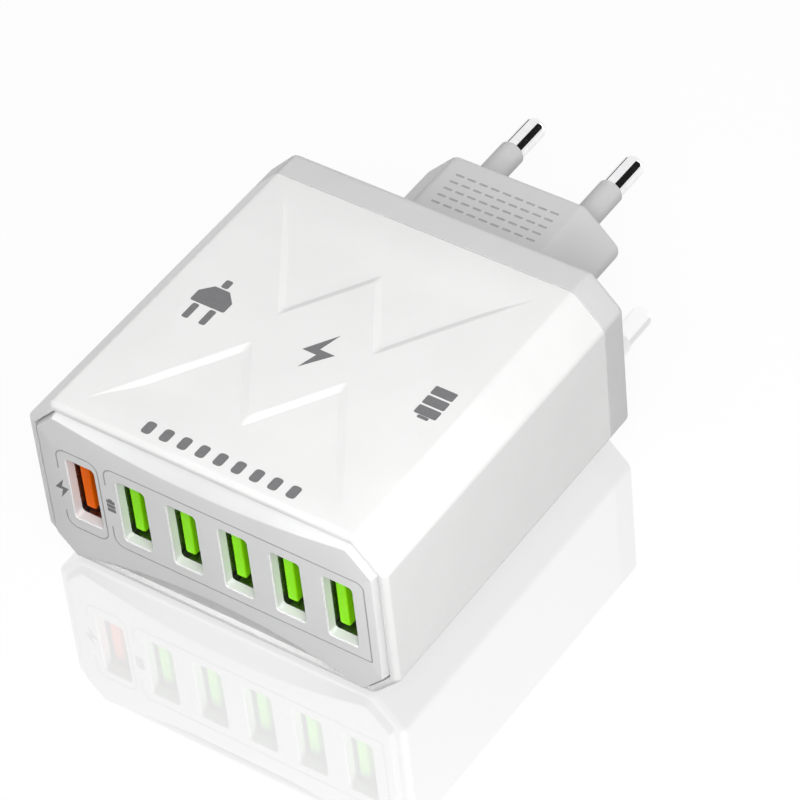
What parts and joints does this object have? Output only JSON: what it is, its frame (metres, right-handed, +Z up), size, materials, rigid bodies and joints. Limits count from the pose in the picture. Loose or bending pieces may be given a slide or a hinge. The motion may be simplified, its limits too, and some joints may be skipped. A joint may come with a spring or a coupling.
{
  "type": "multi-port usb wall charger",
  "caption": "Octagonal mains charger with a row of upright USB sockets in its front and a two-pin plug block on its back.",
  "frame": {"origin": "middle of the bounding box in X and Y, at the level of the flat base", "axes": "+Y from the port face to the plug pins, +Z up, +X to the right along the row of ports"},
  "size_m": [0.066, 0.1058, 0.0342],
  "materials": {
    "housing_white": "satin white moulding",
    "panel_grey": "satin pale grey moulding",
    "cover_grey": "satin light grey moulding",
    "pin_metal": "nickel-plated brass, polished",
    "socket_steel": "plated steel",
    "tongue_orange": "orange insulator",
    "tongue_green": "green insulator",
    "contact_gold": "gold flash",
    "board_green": "solder mask",
    "lead_brass": "stamped strip",
    "ferrite": "ground ferrite",
    "bobbin_black": "phenolic moulding",
    "winding_tape": "copper under yellow tape",
    "can_sleeve": "sleeved can",
    "can_bare": "drawn can",
    "sink_aluminium": "extruded",
    "package_black": "moulded package",
    "package_white": "moulded package",
    "film_yellow": "potted box",
    "disc_blue": "dipped disc",
    "copper": "enamelled wire",
    "fuse_brown": "moulded fuse"
  },
  "bodies": {
    "root": {"housing_shell": "housing_white", "front_panel": "panel_grey", "rear_cover": "cover_grey", "pin_left": "pin_metal", "pin_right": "pin_metal", "pin_sleeve_left": "cover_grey", "pin_sleeve_right": "cover_grey", "main_board": "board_green", "mains_lead_left": "lead_brass", "mains_lead_right": "lead_brass", "transformer_core": "ferrite", "transformer_bobbin": "bobbin_black", "transformer_winding": "winding_tape", "bulk_capacitor_1": "can_sleeve", "bulk_capacitor_2": "can_sleeve", "output_capacitor_1": "can_bare", "output_capacitor_2": "can_bare", "output_capacitor_3": "can_bare", "heat_sink": "sink_aluminium", "power_transistor": "package_black", "x_capacitor": "film_yellow", "y_capacitor": "disc_blue", "choke_core": "ferrite", "choke_windings": "copper", "fuse": "fuse_brown", "optocoupler": "package_white", "bridge_rectifier": "package_black", "output_rectifier": "package_black", "primary_controller": "package_black", "port_controllers": "package_black", "usb_shell_1": "socket_steel", "usb_insulator_1": "tongue_orange", "usb_contacts_1": "contact_gold", "usb_shell_2": "socket_steel", "usb_insulator_2": "tongue_green", "usb_contacts_2": "contact_gold", "usb_shell_3": "socket_steel", "usb_insulator_3": "tongue_green", "usb_contacts_3": "contact_gold", "usb_shell_4": "socket_steel", "usb_insulator_4": "tongue_green", "usb_contacts_4": "contact_gold", "usb_shell_5": "socket_steel", "usb_insulator_5": "tongue_green", "usb_contacts_5": "contact_gold", "usb_shell_6": "socket_steel", "usb_insulator_6": "tongue_green", "usb_contacts_6": "contact_gold"}
  },
  "joints": []
}
